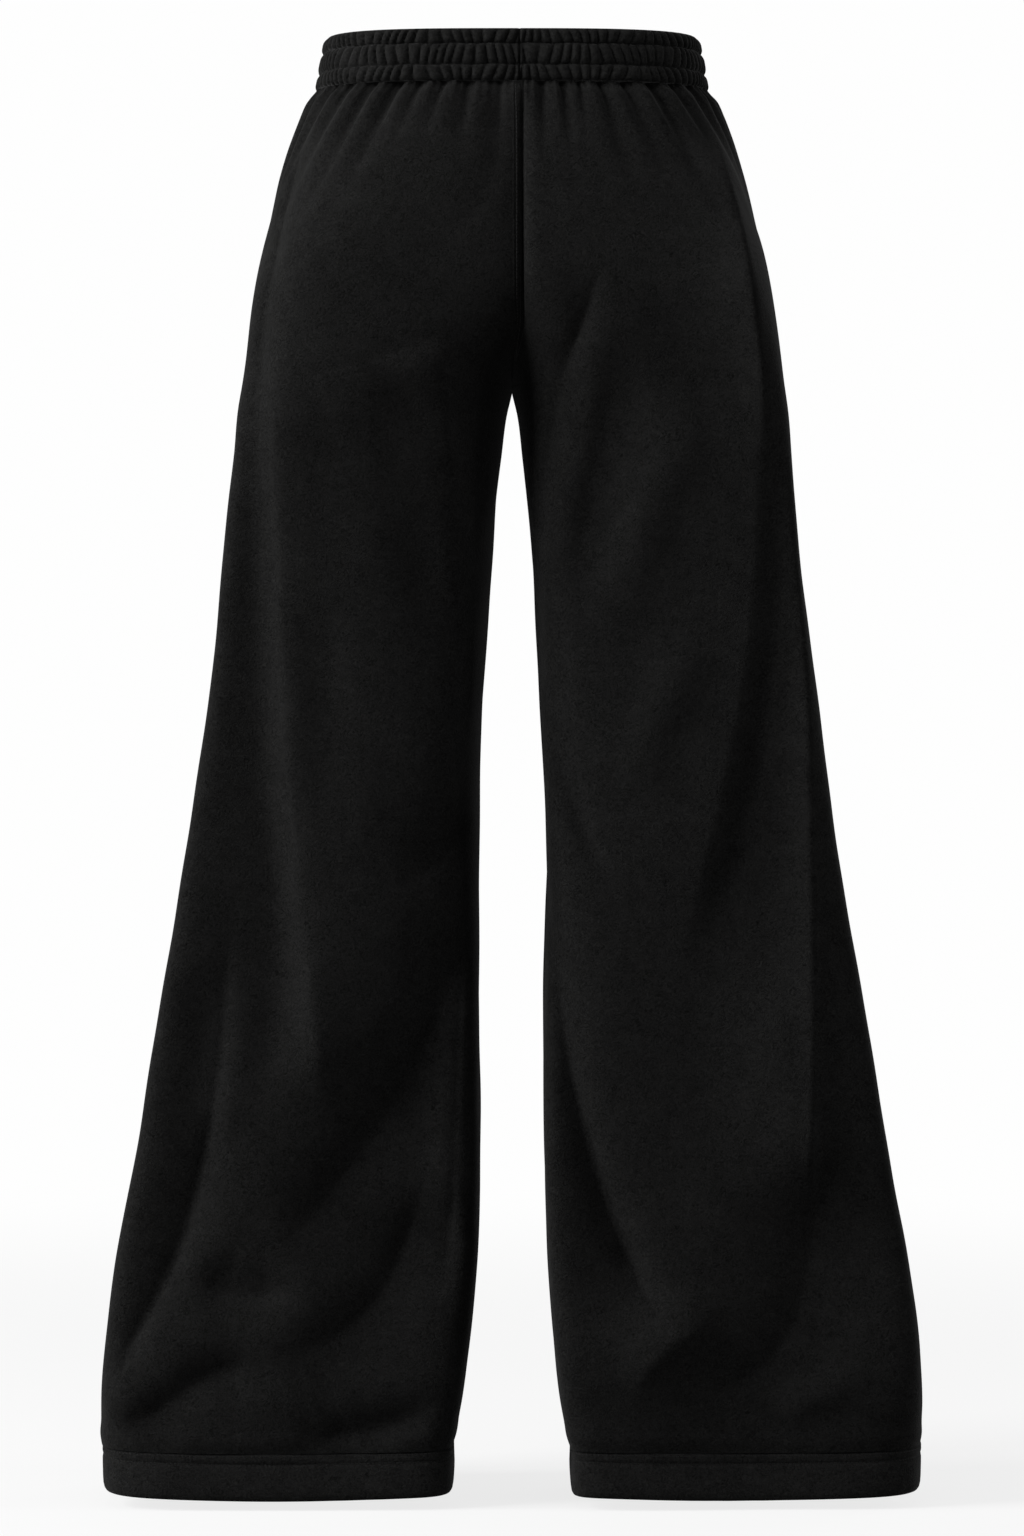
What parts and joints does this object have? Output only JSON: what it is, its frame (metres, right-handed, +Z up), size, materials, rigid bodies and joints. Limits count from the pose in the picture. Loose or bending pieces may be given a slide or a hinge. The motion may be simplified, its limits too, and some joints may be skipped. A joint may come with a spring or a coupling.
{
  "type": "wide-leg sweatpants",
  "caption": "Wide-leg sweatpants in black brushed fleece, filled out as worn: shirred elastic waistband, gathered seat, open legs with turned hems.",
  "frame": {"origin": "middle of the waist opening, at half the waistband's height, where the wearer's waist holds the garment", "axes": "+Z up, -Y towards the front, +X towards the wearer's left"},
  "size_m": [0.5842, 0.2616, 1.038],
  "materials": {
    "body": "matt brushed fleece with a short curled nap, near black",
    "waistband": "the same fleece, shirred over elastic in three channels, near black",
    "hem": "the same fleece, turned up double and topstitched twice, near black"
  },
  "bodies": {
    "root": {"waistband": "waistband", "back_left": "body", "back_right": "body", "front_left": "body", "front_right": "body", "hem_left": "hem", "hem_right": "hem"}
  },
  "joints": []
}
